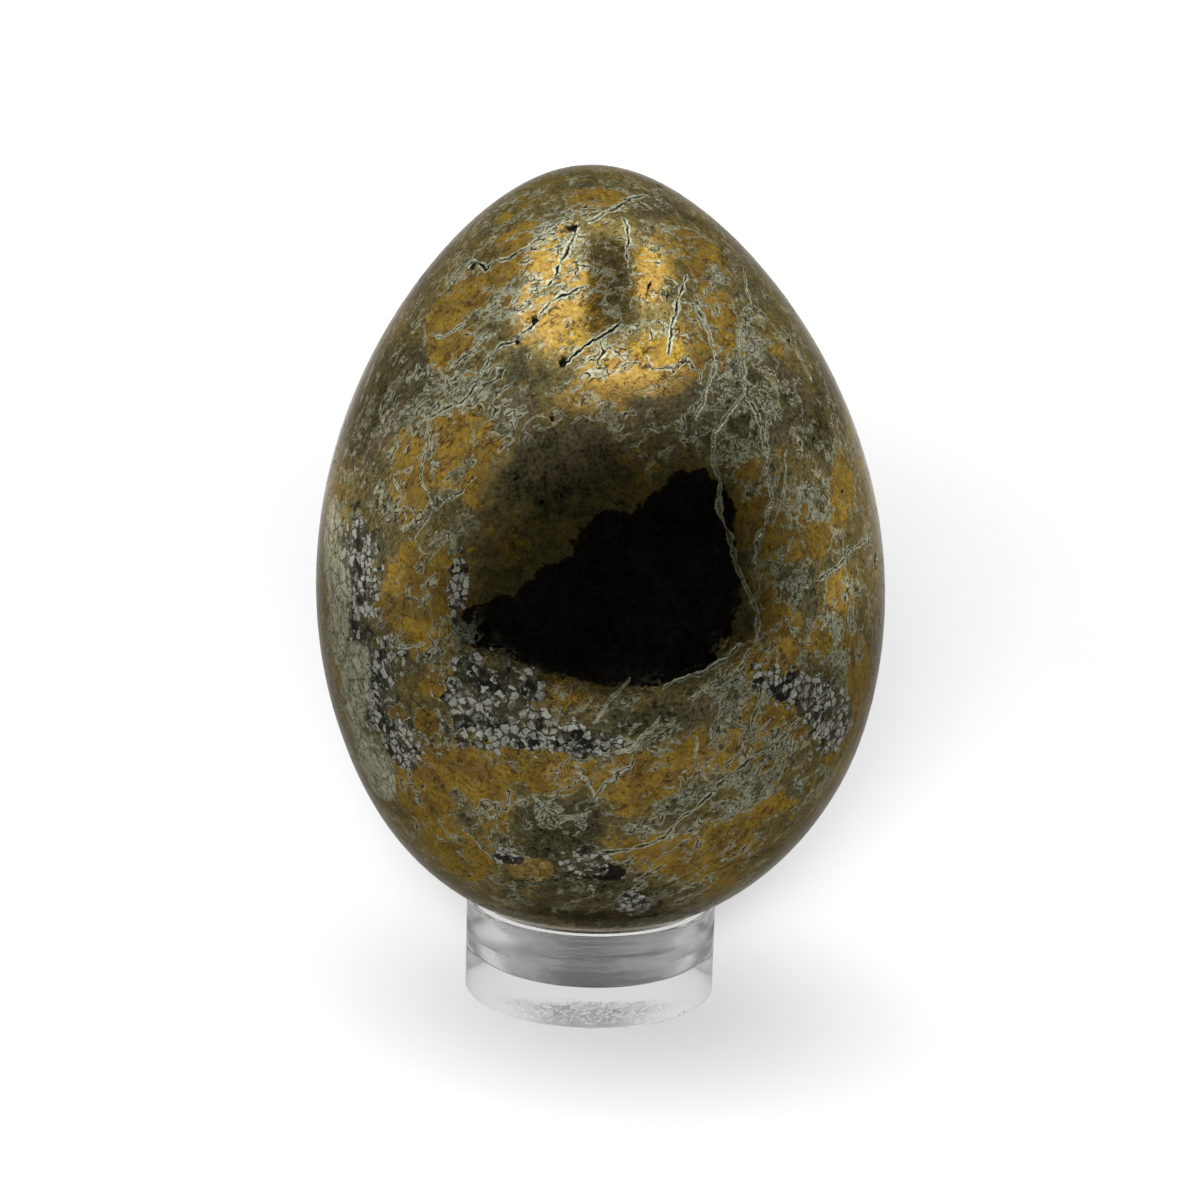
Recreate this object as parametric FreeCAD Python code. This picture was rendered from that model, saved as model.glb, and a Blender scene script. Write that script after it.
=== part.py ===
# Polished stone egg, standing blunt end down in a clear moulded stand.
# Millimetres, +Z up. The origin is the centre of the face that the stand rests on.
import FreeCAD, Part
import math
import os

V = FreeCAD.Vector
UP = V(0, 0, 1)
BACKWARD = V(0, 1, 0)

# Egg
egg_height = 76.9
egg_waist_width = 56.3  # diameter half way up
# How the outline swells below the waist and draws in above it, for the cosine's first, second
# and third power, as shares of the waist
egg_swell_shares = (0.116, -0.042, 0.069)
egg_lean_degrees = 3.2  # the top leans towards -X
outline_steps = 8  # from a tip to the waist
search_halvings = 60  # of the span searched for the height at which the rim holds the egg

# Natural pits that the polishing left open: mouth and depth of the largest one
pit_width = 1.2
pit_depth = 0.4
# Share of a full turn from +X towards +Y, share of the egg's height, share of the largest pit
pit_place_shares = (
    (0.728, 0.937, 0.80),
    (0.616, 0.893, 0.75),
    (0.948, 0.973, 0.50),
    (0.705, 0.837, 0.65),
    (0.694, 0.813, 0.45),
    (0.730, 0.791, 0.60),
    (0.928, 0.788, 0.50),
    (0.725, 0.728, 0.40),
    (0.919, 0.606, 0.50),
    (0.952, 0.506, 1.00),
    (0.270, 0.640, 0.75),
    (0.415, 0.380, 0.60),
    (0.118, 0.300, 0.80),
)

# Stand
stand_width = 25.4
stand_height = 9.5
stand_edge_round = 0.3
stand_rim_width = 1.4  # flat ring round the mouth of the recess
seat_wall_inset = 3.0  # how much nearer the axis the recess is at its floor than at its mouth
seat_floor_thickness = 3.3

# Gap between the egg and the seat's rim, square to the egg
seat_clearance = 0.1
# How far a cutting shape runs past the face that it cuts
overrun = 1.0

seat_mouth_radius = stand_width / 2 - stand_rim_width
seat_floor_radius = seat_mouth_radius - seat_wall_inset


def egg_radius_and_height(turn):
    """Outline point: turn is 0 at the lower tip and pi at the upper one."""
    first, second, third = egg_swell_shares
    lean_in = math.cos(turn)
    swell = 1 + first * lean_in + second * lean_in ** 2 + third * lean_in ** 3
    radius = egg_waist_width / 2 * math.sin(turn) * swell
    height = egg_height / 2 * (1 - lean_in)
    return radius, height


def egg_direction(turn):
    """How fast the outline's radius and height grow with turn."""
    first, second, third = egg_swell_shares
    lean_in = math.cos(turn)
    swell = 1 + first * lean_in + second * lean_in ** 2 + third * lean_in ** 3
    swell_rate = first + 2 * second * lean_in + 3 * third * lean_in ** 2
    radius_rate = egg_waist_width / 2 * (lean_in * swell - math.sin(turn) ** 2 * swell_rate)
    height_rate = egg_height / 2 * math.sin(turn)
    return radius_rate, height_rate


def turn_at_radius(wanted):
    """Turn below the waist at which the outline has the wanted radius."""
    low, high = 0.0, math.pi / 2
    for _ in range(search_halvings):
        middle = (low + high) / 2
        if egg_radius_and_height(middle)[0] < wanted:
            low = middle
        else:
            high = middle
    return low


def seat_place():
    """Height of the egg's lower tip above the foot, and of the point that it rocks about."""
    turn = turn_at_radius(seat_mouth_radius)
    radius, height = egg_radius_and_height(turn)
    radius_rate, height_rate = egg_direction(turn)
    rock_above_tip = height + radius * radius_rate / height_rate
    steepness = math.hypot(radius_rate, height_rate) / radius_rate
    tip = stand_height - height + seat_clearance * steepness
    return tip, tip + rock_above_tip


def outline_edge(start, end):
    """Smooth edge along the outline between two turns."""
    turns = [start + (end - start) * step / outline_steps for step in range(outline_steps + 1)]
    points = []
    tangents = []
    for turn in turns:
        radius, height = egg_radius_and_height(turn)
        radius_rate, height_rate = egg_direction(turn)
        points.append(V(radius, 0, height))
        tangents.append(V(radius_rate, 0, height_rate))
    curve = Part.BSplineCurve()
    curve.interpolate(
        Points=points,
        Parameters=turns,
        InitialTangent=tangents[0],
        FinalTangent=tangents[-1],
        Scale=False,
    )
    return curve.toShape()


def plain_egg():
    """The upright egg, with its lower tip at the origin, turned from its outline."""
    lower = outline_edge(0, math.pi / 2)
    upper = outline_edge(math.pi / 2, math.pi)
    axis = Part.makeLine(V(0, 0, egg_height), V(0, 0, 0))
    half = Part.Face(Part.Wire([lower, upper, axis]))
    return half.revolve(V(0, 0, 0), UP, 360)


def pit_cutter(turn_share, height_share, size_share):
    """Ball that cuts one shallow round pit into the upright egg."""
    width = pit_width * size_share
    depth = pit_depth * size_share
    ball = (width ** 2 / 4 + depth ** 2) / (2 * depth)
    turn = math.acos(1 - 2 * height_share)
    radius, height = egg_radius_and_height(turn)
    radius_rate, height_rate = egg_direction(turn)
    size = math.hypot(radius_rate, height_rate)
    angle = 2 * math.pi * turn_share
    around = V(math.cos(angle), math.sin(angle), 0)
    outward = around * (height_rate / size) - UP * (radius_rate / size)
    centre = around * radius + UP * height + outward * (ball - depth)
    # The ball's seam faces away from the egg, so that the pit is one clean face.
    cutter = Part.makeSphere(ball)
    cutter.Placement = FreeCAD.Placement(centre, FreeCAD.Rotation(V(1, 0, 0), outward))
    return cutter


def stone_egg():
    """The egg with its pits, seated on the stand's rim and leaning there."""
    egg = plain_egg()
    for place in pit_place_shares:
        egg = egg.cut(pit_cutter(*place))
    tip, rock = seat_place()
    egg.translate(UP * tip)
    egg.rotate(UP * rock, BACKWARD, -egg_lean_degrees)
    return egg


def clear_stand():
    """Round clear puck with a conical, flat-floored recess that holds the egg by its rim."""
    body = Part.makeCylinder(stand_width / 2, stand_height)
    edge_round = min(stand_edge_round, stand_rim_width / 2)
    body = body.makeFillet(edge_round, [edge for edge in body.Edges if edge.isClosed()])
    recess_depth = stand_height - seat_floor_thickness
    flare = seat_wall_inset / recess_depth
    recess = Part.makeCone(
        seat_floor_radius,
        seat_mouth_radius + flare * overrun,
        recess_depth + overrun,
        UP * seat_floor_thickness,
    )
    return body.cut(recess)


def main():
    os.makedirs("parts", exist_ok=True)
    pieces = {"stone_egg": stone_egg(), "clear_stand": clear_stand()}
    for name, shape in pieces.items():
        solid = shape.Solids[0]
        solid.exportStep(f"parts/{name}.step")
        box = solid.optimalBoundingBox(True, False)
        print(
            f"{name}: {len(shape.Solids)} solid, valid {solid.isValid()},"
            f" {solid.Volume / 1000:.3f} cm3,"
            f" x {box.XMin:.2f} to {box.XMax:.2f}, y {box.YMin:.2f} to {box.YMax:.2f},"
            f" z {box.ZMin:.2f} to {box.ZMax:.2f}"
        )
    overlap = pieces["stone_egg"].common(pieces["clear_stand"]).Volume
    gap = pieces["stone_egg"].distToShape(pieces["clear_stand"])[0]
    print(f"overlap {overlap:.4f} mm3, gap {gap:.3f} mm")


main()
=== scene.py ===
"""A polished ore egg on its clear stand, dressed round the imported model, with a plain studio."""

import math
import random

import bmesh
import bpy
import numpy as np
from bpy.props import FloatProperty, FloatVectorProperty, IntProperty, PointerProperty
from mathutils import Matrix, Vector, noise
from mathutils.bvhtree import BVHTree
from mathutils.kdtree import KDTree


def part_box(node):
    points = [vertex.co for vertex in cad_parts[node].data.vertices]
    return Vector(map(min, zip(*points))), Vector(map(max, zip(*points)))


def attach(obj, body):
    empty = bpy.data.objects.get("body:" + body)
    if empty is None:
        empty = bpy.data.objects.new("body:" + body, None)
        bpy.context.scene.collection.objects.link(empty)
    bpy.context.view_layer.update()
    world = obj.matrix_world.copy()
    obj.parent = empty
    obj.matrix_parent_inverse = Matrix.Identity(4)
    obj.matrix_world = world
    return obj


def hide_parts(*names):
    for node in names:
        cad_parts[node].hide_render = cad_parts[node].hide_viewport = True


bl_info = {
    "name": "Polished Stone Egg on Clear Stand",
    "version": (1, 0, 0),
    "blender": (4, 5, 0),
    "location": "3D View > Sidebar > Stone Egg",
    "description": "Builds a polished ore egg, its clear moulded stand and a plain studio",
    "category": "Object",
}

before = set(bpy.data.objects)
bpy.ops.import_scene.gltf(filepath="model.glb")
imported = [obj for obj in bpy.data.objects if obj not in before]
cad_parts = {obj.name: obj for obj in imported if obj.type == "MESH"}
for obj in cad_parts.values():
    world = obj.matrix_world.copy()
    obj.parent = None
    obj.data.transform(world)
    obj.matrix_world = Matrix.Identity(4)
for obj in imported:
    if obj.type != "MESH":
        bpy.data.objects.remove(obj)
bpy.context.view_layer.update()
STAND_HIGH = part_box("clear_stand")[1]

MM = 0.001
PHOTO_SIZE = 1200  # pixels along each side of the photograph
SENSOR_WIDTH = 36.0  # millimetres, as Blender's camera has it

# Places on the egg's front are pixels of the photograph. Each seam is the width of its dark core,
# the width of its pale edging and the points that it runs through.
SEAMS = (
    (1.8, 5.5, ((578, 224), (570, 244), (562, 262), (554, 278), (546, 288))),
    (0.0, 5.0, ((546, 288), (530, 291), (516, 297), (508, 308))),
    (1.5, 4.5, ((552, 224), (542, 236), (522, 250), (510, 258), (494, 260))),
    (2.2, 4.5, ((452, 284), (463, 270), (470, 263), (478, 263), (486, 270), (494, 258))),
    (1.0, 3.5, ((470, 318), (458, 328), (442, 337), (434, 336))),
    (1.1, 4.5, ((590, 286), (570, 292), (550, 302), (540, 316), (526, 330), (516, 342),
                (502, 344), (490, 354), (484, 368), (476, 384), (468, 398), (450, 406),
                (430, 418), (418, 424))),
    (1.6, 4.0, ((624, 323), (602, 337), (590, 343), (578, 352), (570, 361), (560, 365))),
    (0.9, 3.5, ((496, 334), (482, 340), (470, 352), (450, 370))),
    (1.5, 5.5, ((584, 224), (596, 219), (606, 212), (618, 208), (630, 200), (646, 195))),
    (1.3, 4.5, ((620, 216), (628, 226), (628, 238), (626, 252), (628, 268))),
    (2.0, 0.0, ((652, 279), (648, 290), (650, 299))),
    (1.4, 0.0, ((668, 288), (666, 302))),
    (1.3, 4.5, ((688, 276), (680, 292), (676, 312), (671, 330), (669, 356))),
    (0.9, 4.5, ((692, 300), (702, 318), (711, 338), (714, 352), (714, 370), (708, 386),
                (702, 402), (696, 420))),
    (1.5, 0.0, ((673, 198), (686, 210), (692, 222), (697, 226))),
    (1.3, 0.0, ((702, 212), (730, 236), (760, 263), (786, 298), (797, 312))),
    (1.3, 3.0, ((744, 266), (746, 288), (751, 304), (764, 314), (776, 330), (790, 342),
                (802, 362), (812, 384))),
    (1.1, 4.5, ((736, 330), (741, 352), (744, 370), (744, 394), (730, 412), (718, 428),
                (712, 446))),
    (1.1, 4.5, ((744, 394), (754, 406), (761, 428), (766, 450))),
    (0.0, 4.0, ((740, 360), (726, 374), (714, 380))),
    (0.0, 6.5, ((714, 428), (712, 460), (720, 482), (718, 506), (728, 534), (736, 566),
                (748, 590), (757, 612), (758, 644))),
    (0.9, 4.5, ((766, 430), (768, 450), (766, 470), (772, 500), (764, 526), (756, 543),
                (757, 565))),
    (0.0, 3.5, ((786, 450), (786, 480), (780, 508), (772, 528))),
    (1.3, 4.5, ((872, 533), (852, 550), (836, 568), (816, 581))),
    (1.1, 4.5, ((662, 690), (674, 681), (700, 674), (724, 660), (742, 645))),
    (0.9, 4.5, ((686, 700), (704, 692), (726, 680), (742, 664), (752, 648))),
    (0.0, 4.5, ((632, 678), (612, 698), (600, 712), (594, 724))),
    (1.7, 5.5, ((826, 694), (800, 718), (782, 737), (762, 754), (746, 762), (734, 772),
                (718, 786), (698, 806), (674, 824), (664, 836), (648, 844), (628, 850),
                (600, 852))),
    (1.3, 3.5, ((762, 678), (760, 704), (752, 720), (750, 754))),
    (1.7, 0.0, ((786, 838), (766, 854), (742, 860), (718, 870), (696, 878))),
    (2.1, 0.0, ((758, 866), (744, 877), (730, 883), (708, 896))),
    (1.7, 0.0, ((783, 791), (775, 803))),
    (2.3, 0.0, ((849, 771), (842, 785))),
    (0.0, 4.5, ((698, 736), (696, 768), (711, 781))),
    (0.0, 5.0, ((590, 752), (612, 755), (630, 750), (642, 738), (652, 731), (660, 716))),
    (1.5, 0.0, ((398, 834), (420, 852), (442, 866), (466, 875), (506, 881), (550, 879),
                (582, 880))),
    (1.9, 3.0, ((458, 824), (474, 838), (496, 861))),
    (1.1, 0.0, ((384, 702), (410, 712), (438, 737))),
    (1.1, 0.0, ((410, 698), (424, 710), (440, 720))),
    (0.0, 5.0, ((572, 760), (582, 776), (592, 790), (600, 803))),
    (0.0, 5.0, ((532, 794), (546, 810), (570, 818), (590, 812))),
    (1.3, 0.0, ((372, 468), (378, 496), (376, 518))),
    (0.9, 2.5, ((394, 476), (402, 500), (406, 520))),
    (0.9, 2.5, ((426, 440), (421, 476), (430, 500), (434, 509))),
    (0.9, 2.5, ((434, 509), (458, 493), (476, 478))),
    (0.9, 2.5, ((434, 509), (424, 526), (414, 540))),
    (1.1, 3.0, ((384, 641), (402, 647), (428, 642))),
    (1.1, 2.5, ((428, 632), (434, 646), (446, 658))),
)

# Each patch is its centre, its two half-widths and its tilt in degrees, anticlockwise.
GOLD_PATCHES = (
    (520, 240, 24, 11, 25), (522, 268, 30, 14, 20), (452, 306, 34, 16, 32),
    (450, 352, 26, 16, 25), (560, 300, 40, 50, 0), (602, 196, 34, 10, 0), (656, 262, 18, 40, -20),
    (716, 316, 20, 30, 0), (632, 368, 52, 22, 10), (690, 352, 14, 28, 0), (726, 362, 7, 12, 0),
    (770, 392, 20, 24, 0), (470, 462, 34, 42, 0), (408, 482, 18, 40, 0), (425, 600, 42, 52, 0),
    (442, 680, 22, 22, 0), (397, 716, 9, 9, 0), (426, 722, 11, 14, 0), (468, 756, 34, 16, 10),
    (492, 800, 24, 36, 0), (430, 790, 36, 36, 0), (455, 850, 42, 22, -20), (556, 776, 34, 20, 0),
    (622, 778, 40, 28, -10), (532, 866, 18, 11, 0), (531, 892, 13, 7, 0), (690, 856, 72, 24, 14),
    (712, 752, 40, 26, 0), (768, 808, 18, 10, 30), (666, 784, 15, 9, 0), (755, 503, 14, 38, 0),
    (783, 622, 20, 16, 0), (824, 643, 12, 16, 0), (841, 590, 14, 20, 0), (768, 566, 9, 36, 0),
    (806, 546, 34, 16, 10), (798, 700, 8, 8, 0), (748, 708, 9, 9, 0), (762, 724, 9, 8, 0),
    (803, 735, 10, 7, 0), (842, 482, 10, 56, 0), (862, 690, 10, 50, 0), (700, 250, 30, 16, -35),
)
# The lowest grey patches, along the bottom just above the stand, are painted shade; the others are
# grey rock
GREY_AND_SHADE_PATCHES = (
    (400, 372, 34, 26, 30), (566, 826, 40, 24, 0), (800, 850, 50, 20, 35), (650, 722, 40, 16, 0),
    (610, 915, 90, 16, 0), (830, 400, 14, 60, 0), (460, 812, 12, 26, 30), (546, 862, 30, 26, 0),
    (620, 885, 60, 26, 0), (780, 400, 34, 40, 30), (560, 470, 84, 44, 20), (420, 260, 40, 22, 45),
    (370, 400, 26, 60, -25), (690, 190, 30, 14, -30),
)
CRYSTAL_PATCHES = (
    (350, 596, 25, 80, 0), (370, 692, 24, 46, -15), (400, 742, 20, 26, 20), (488, 704, 52, 46, 0),
    (540, 737, 40, 16, 0), (580, 741, 44, 15, -10), (584, 862, 22, 15, 0), (459, 590, 10, 36, 0),
    (806, 694, 44, 20, -20), (832, 724, 20, 28, 0), (504, 857, 15, 6, 0), (637, 905, 16, 11, 0),
)
NET_PATCHES = (
    (815, 510, 24, 36, 0), (793, 588, 22, 20, 0), (830, 614, 16, 10, 0), (745, 800, 34, 22, 35),
    (672, 806, 24, 12, 25), (742, 380, 30, 56, -10), (775, 404, 20, 30, 0),
    (450, 392, 50, 24, 35), (530, 292, 44, 16, 42), (560, 246, 14, 34, -30),
    (790, 745, 20, 16, 0), (640, 730, 34, 12, 0), (730, 690, 26, 20, 30), (740, 470, 24, 76, 0),
    (840, 640, 22, 56, 0), (550, 815, 30, 14, 0), (500, 300, 26, 18, 30),
)
WARM_PATCHES = (
    (655, 262, 13, 52, -16), (548, 300, 34, 52, -20), (640, 380, 60, 18, 0),
    (590, 400, 40, 14, 0), (530, 870, 24, 12, 0), (560, 775, 20, 12, 0), (700, 765, 22, 12, 0),
)
# Painted dark reflection: the big black lump in the middle of the front
BLACK_ORE_AND_REFLECTION_PATCHES = (
    (655, 590, 88, 84, 0), (565, 634, 96, 40, -5), (692, 530, 44, 60, 0), (606, 572, 56, 34, 42),
    (625, 656, 92, 30, 0), (484, 626, 34, 22, 0), (548, 598, 52, 26, 42), (602, 872, 24, 10, 0),
    (640, 904, 24, 10, 0),
)
# Painted reflection: pale patches along the egg's left outline, with cracks in them
PALE_SHEEN_PATCHES = (
    (331, 545, 9, 50, 0), (338, 610, 11, 60, 0), (354, 690, 15, 46, 0), (374, 768, 16, 36, 25),
)
CALM_PATCHES = ((606, 578, 150, 112, 0), (690, 540, 60, 90, 0), (560, 500, 90, 70, 20))

# For each kind of patch: its name, its patches on the front, how many more the back has, and
# the smallest and largest half-width of those in millimetres.
PATCH_KINDS = (
    ("gold", GOLD_PATCHES, 20, 3, 9),
    ("grey", GREY_AND_SHADE_PATCHES, 9, 3, 9),
    ("crystal", CRYSTAL_PATCHES, 7, 2, 5),
    ("net", NET_PATCHES, 9, 2.5, 7),
    ("warm", WARM_PATCHES, 5, 2, 5),
    ("calm", CALM_PATCHES, 2, 3, 7),
    ("pale_sheen", PALE_SHEEN_PATCHES, 2, 2, 5),
    ("black", BLACK_ORE_AND_REFLECTION_PATCHES, 3, 3, 7),
)

# Natural pits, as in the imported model: share of a turn from +X towards +Y, share of the egg's
# height, share of the largest pit.
PIT_PLACE_SHARES = (
    (0.728, 0.937, 0.80), (0.616, 0.893, 0.75), (0.948, 0.973, 0.50), (0.705, 0.837, 0.65),
    (0.694, 0.813, 0.45), (0.730, 0.791, 0.60), (0.928, 0.788, 0.50), (0.725, 0.728, 0.40),
    (0.919, 0.606, 0.50), (0.952, 0.506, 1.00), (0.270, 0.640, 0.75), (0.415, 0.380, 0.60),
    (0.118, 0.300, 0.80),
)


def colour(name, description, value):
    return FloatVectorProperty(name=name, description=description, default=value, size=3,
                               subtype="COLOR", min=0, max=1)


def length(name, description, value):
    return FloatProperty(name=name, description=description, default=value, unit="LENGTH",
                         precision=5)


def angle(name, description, value):
    return FloatProperty(name=name, description=description, default=math.radians(value),
                         subtype="ANGLE")


def share(name, description, value):
    return FloatProperty(name=name, description=description, default=value, subtype="FACTOR")


def number(name, description, value):
    return FloatProperty(name=name, description=description, default=value)


class StoneEggSettings(bpy.types.PropertyGroup):
    height: length("Height", "Length of the egg from tip to tip", 0.0769)
    waist_width: length("Waist width", "Diameter half way up", 0.0563)
    swells: FloatVectorProperty(
        name="Swells",
        description="How the outline swells below the waist and draws in above it",
        default=(0.116, -0.042, 0.069),
        size=3,
    )
    lean: angle("Lean", "How far the top leans towards -X in the seat", 3.2)
    bow: length("Bow", "How far the ground form strays to +X above the seat", 0.00055)
    pit_width: length("Pit width", "Mouth of the largest natural pit", 0.0012)
    pit_depth: length("Pit depth", "Depth of the largest natural pit", 0.0004)
    seam_depth: length("Seam depth", "Depth of the deepest open seam", 0.00022)
    crystal_size: length("Crystal size", "Usual width of a quartz crystal", 0.00085)
    patch_size: length("Patch size", "Usual width of a patch of ore", 0.0085)
    net_size: length("Net size", "Usual width of an island of rock", 0.0021)
    gold: colour("Gold", "Bright ore", (0.41, 0.262, 0.042))
    rust: colour("Rust", "Orange-brown ore", (0.225, 0.132, 0.032))
    brass: colour("Brass", "Duller ore", (0.20, 0.150, 0.052))
    # Black ore, which in the middle of the front is painted dark reflection
    black_ore_and_reflection: colour("Black ore", "Dark lump in the middle of the front", (0.019, 0.015, 0.012))
    tarnish: colour("Tarnish", "Brown skin round the bright ore", (0.145, 0.112, 0.066))
    bronze: colour("Bronze", "Warm skin on some of the ore", (0.42, 0.265, 0.072))
    olive: colour("Olive", "Grey-green ground between the patches", (0.128, 0.117, 0.056))
    vein: colour("Vein", "Pale green-grey veins", (0.42, 0.43, 0.31))
    crystal: colour("Crystal", "Milky quartz", (0.50, 0.50, 0.43))
    dark: colour("Dark", "Pits, seams and the ground between crystals", (0.012, 0.012, 0.009))
    edge: colour("Edge", "Tint of what the stone mirrors near its outline", (0.62, 0.58, 0.50))
    polish: share("Polish", "Roughness of the polished ore", 0.10)
    seed: IntProperty(name="Seed", description="Draws the seams and patches of the unseen back",
                      default=11)


class ClearStandSettings(bpy.types.PropertyGroup):
    rim_width: length("Rim width", "Flat ring round the mouth of the recess", 0.0014)
    wall_inset: length("Wall inset", "How much nearer the axis the recess is at its floor", 0.0030)
    floor_thickness: length("Floor thickness", "From the foot up to the recess's floor", 0.0033)
    edge_round: length("Edge round", "Radius of the outer edges", 0.0003)
    mouth_round: length("Mouth round", "Radius of the edge at the mouth of the recess", 0.0002)
    seat_clearance: length("Seat clearance", "Gap between the egg and the rim", 0.0001)
    tint: colour("Tint", "Colour of the clear plastic", (0.99, 0.99, 0.985))
    film: colour("Film", "Patch under the foot that clings to the table", (0.50, 0.57, 0.63))
    crinkle: colour("Crinkle", "Pale lines in that patch", (0.97, 0.98, 0.99))
    # Painted shade in the front of the recess and round its floor; the specks share this grey
    painted_shade_grey: colour("Painted shade grey", "Haze on the turned wall and floor of the recess", (0.17, 0.155, 0.14))
    bend: number("Index", "Refractive index of acrylic", 1.49)


class StudioSettings(bpy.types.PropertyGroup):
    camera_distance: length("Camera distance", "From the camera to the point it looks at", 0.300)
    camera_rise: angle("Camera rise", "How far the camera looks down", 13.27)
    camera_roll: angle("Camera roll", "How far the camera is turned about its view", 1.6)
    focal_pixels: number("Focal length in pixels", "Focal length as pixels of the photograph", 2998)
    target: FloatVectorProperty(
        name="Target",
        description="Point that the camera looks at",
        default=(0.00006, 0, 0.04071),
        size=3,
        subtype="XYZ",
        unit="LENGTH",
    )
    table_edge: length("Table edge", "From the stand's axis to the table's front edge", 0.122)
    front_card: length("Front card", "From the stand's axis to the dark card in front", 0.260)
    lamp_height: length("Lamp height", "Height of the soft lamp overhead", 0.600)
    panel_glow: number("Panel glow", "Radiance of the panel that mirrors show", 1.85)
    lamp_glow: number("Lamp glow", "Radiance of the soft lamp overhead", 1.3)
    fill_glow: number("Fill glow", "Radiance of the soft fill beside the camera", 4.0)
    table_glow: number("Table glow", "Radiance of the lamp that lights the table alone", 15.5)
    table_white: share("Table white", "How much of the table near the stand is plain white", 0.05)
    through_glow: number("Through glow", "Radiance of the room seen through clear plastic", 0.72)
    room_glow: number("Room glow", "Radiance of the room that mirrors show", 0.78)
    room_light: number("Room light", "Radiance of the room as a lamp", 0.3)


def smooth_step(low, high, value):
    part = np.clip((value - low) / (high - low), 0, 1)
    return part * part * (3 - 2 * part)


class EggForm:
    """The egg's outline, seat and lean, in metres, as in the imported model."""

    def __init__(self, egg, stand):
        self.egg = egg
        mouth = STAND_HIGH.x - stand.rim_width
        turn = self.turn_at_radius(mouth)
        radius, height, radius_rate, height_rate = self.outline(turn)
        steepness = math.hypot(radius_rate, height_rate) / radius_rate
        self.tip = STAND_HIGH.z - height + stand.seat_clearance * steepness
        self.rock = self.tip + height + radius * radius_rate / height_rate

    def outline(self, turn):
        """Radius, height and their rates; turn is 0 at the lower tip and pi at the upper one."""
        first, second, third = self.egg.swells
        lean_in = np.cos(turn)
        side = np.sin(turn)
        swell = 1 + first * lean_in + second * lean_in ** 2 + third * lean_in ** 3
        swell_rate = first + 2 * second * lean_in + 3 * third * lean_in ** 2
        half_width, half_height = self.egg.waist_width / 2, self.egg.height / 2
        radius = half_width * side * swell
        height = half_height * (1 - lean_in)
        radius_rate = half_width * (lean_in * swell - side ** 2 * swell_rate)
        return radius, height, radius_rate, half_height * side

    def turn_at_radius(self, wanted):
        low, high = 0.0, math.pi / 2
        halvings = 60
        for _ in range(halvings):
            middle = (low + high) / 2
            if self.outline(middle)[0] < wanted:
                low = middle
            else:
                high = middle
        return low

    def place(self, units):
        """Points and outward normals of the seated egg for an array of unit directions."""
        turn = np.arccos(np.clip(-units[:, 2], -1, 1))
        radius, height, radius_rate, height_rate = self.outline(turn)
        across = np.hypot(units[:, 0], units[:, 1])
        across[across == 0] = 1
        around = units[:, :2] / across[:, None]
        points = np.column_stack([around * radius[:, None], height + self.tip])
        normals = np.column_stack([around * height_rate[:, None], -radius_rate])
        normals /= np.linalg.norm(normals, axis=1)[:, None]
        lean = np.array(Matrix.Rotation(-self.egg.lean, 3, "Y"))
        rock = np.array([0, 0, self.rock])
        points = (points - rock) @ lean.T + rock
        seat = STAND_HIGH.z
        points[:, 0] += self.egg.bow * smooth_step(seat, 3 * seat, points[:, 2])
        return points, normals @ lean.T


class PhotoView:
    """The photograph's camera: turns its pixels into places on the egg."""

    def __init__(self, studio):
        rise, roll = studio.camera_rise, studio.camera_roll
        ahead = Vector((0, math.cos(rise), -math.sin(rise)))
        side = Vector((1, 0, 0))
        top = side.cross(ahead)
        self.right = side * math.cos(roll) + top * math.sin(roll)
        self.up = top * math.cos(roll) - side * math.sin(roll)
        self.ahead = ahead
        self.place = Vector(studio.target) - ahead * studio.camera_distance
        self.focal = studio.focal_pixels
        self.distance = studio.camera_distance

    def ray(self, x, y):
        middle = PHOTO_SIZE / 2
        across = self.right * (x - middle) / self.focal
        down = self.up * (y - middle) / self.focal
        return (self.ahead + across - down).normalized()

    def matrix(self):
        turn = Matrix((self.right, self.up, -self.ahead)).transposed()
        return Matrix.Translation(self.place) @ turn.to_4x4()


class EggSurface:
    """A plain mesh of the egg that rays and pixels are cast on."""

    def __init__(self, form, view):
        self.view = view
        bm = bmesh.new()
        bmesh.ops.create_icosphere(bm, subdivisions=6, radius=1)
        move_to_egg(bm, form)
        self.tree = BVHTree.FromBMesh(bm)
        bm.free()

    def at_pixel(self, x, y):
        """Point on the front that the pixel shows; a pixel just beside the egg gives its rim."""
        ray = self.view.ray(x, y)
        place = self.view.place
        seen = self.tree.ray_cast(place, ray)[0]
        return seen or self.nearest(place + ray * self.view.distance)

    def nearest(self, point):
        return self.tree.find_nearest(point)[0]


def unit_array(bm):
    return np.array([v.co for v in bm.verts], float)


def move_to_egg(bm, form):
    points, _ = form.place(unit_array(bm))
    for vert, point in zip(bm.verts, points):
        vert.co = point


class Seam:
    """A run of points on the egg with half-widths of a dark core and a pale edging, in metres."""

    def __init__(self, points, core, edging):
        self.points, self.core, self.edging = points, core, edging

    def widths(self, whole):
        """Half-width at each point: it varies along the seam and tapers to its ends."""
        end_share, taper_run = 0.3, 14
        usual_share, vary, vary_size = 0.85, 0.9, 0.9 * MM
        found = []
        for i, point in enumerate(self.points):
            from_end = min(i, len(self.points) - 1 - i)
            taper = min(1, end_share + from_end / taper_run)
            found.append(whole * taper * (usual_share + vary * noise.noise(point / vary_size)))
        return found


SEAM_STEP = 0.06 * MM  # spacing of the points along a seam
# Half-widths of a seam's core and of its edging, as shares of the widths in the table
CORE_SHARE = 0.34
EDGING_SHARE = 0.60
LONE_EDGING_SHARE = 0.40  # where the seam has no core


def seam_from_pixels(surface, core_px, edging_px, pixels, pixel_size):
    """A seam through the given pixels, with the small wander that a natural one has."""
    placed = [surface.at_pixel(x, y) for x, y in pixels]
    edging_share = EDGING_SHARE if core_px else LONE_EDGING_SHARE
    core, edging = core_px * pixel_size * CORE_SHARE, edging_px * pixel_size * edging_share
    return wandering_seam(surface, placed, core, edging)


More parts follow.
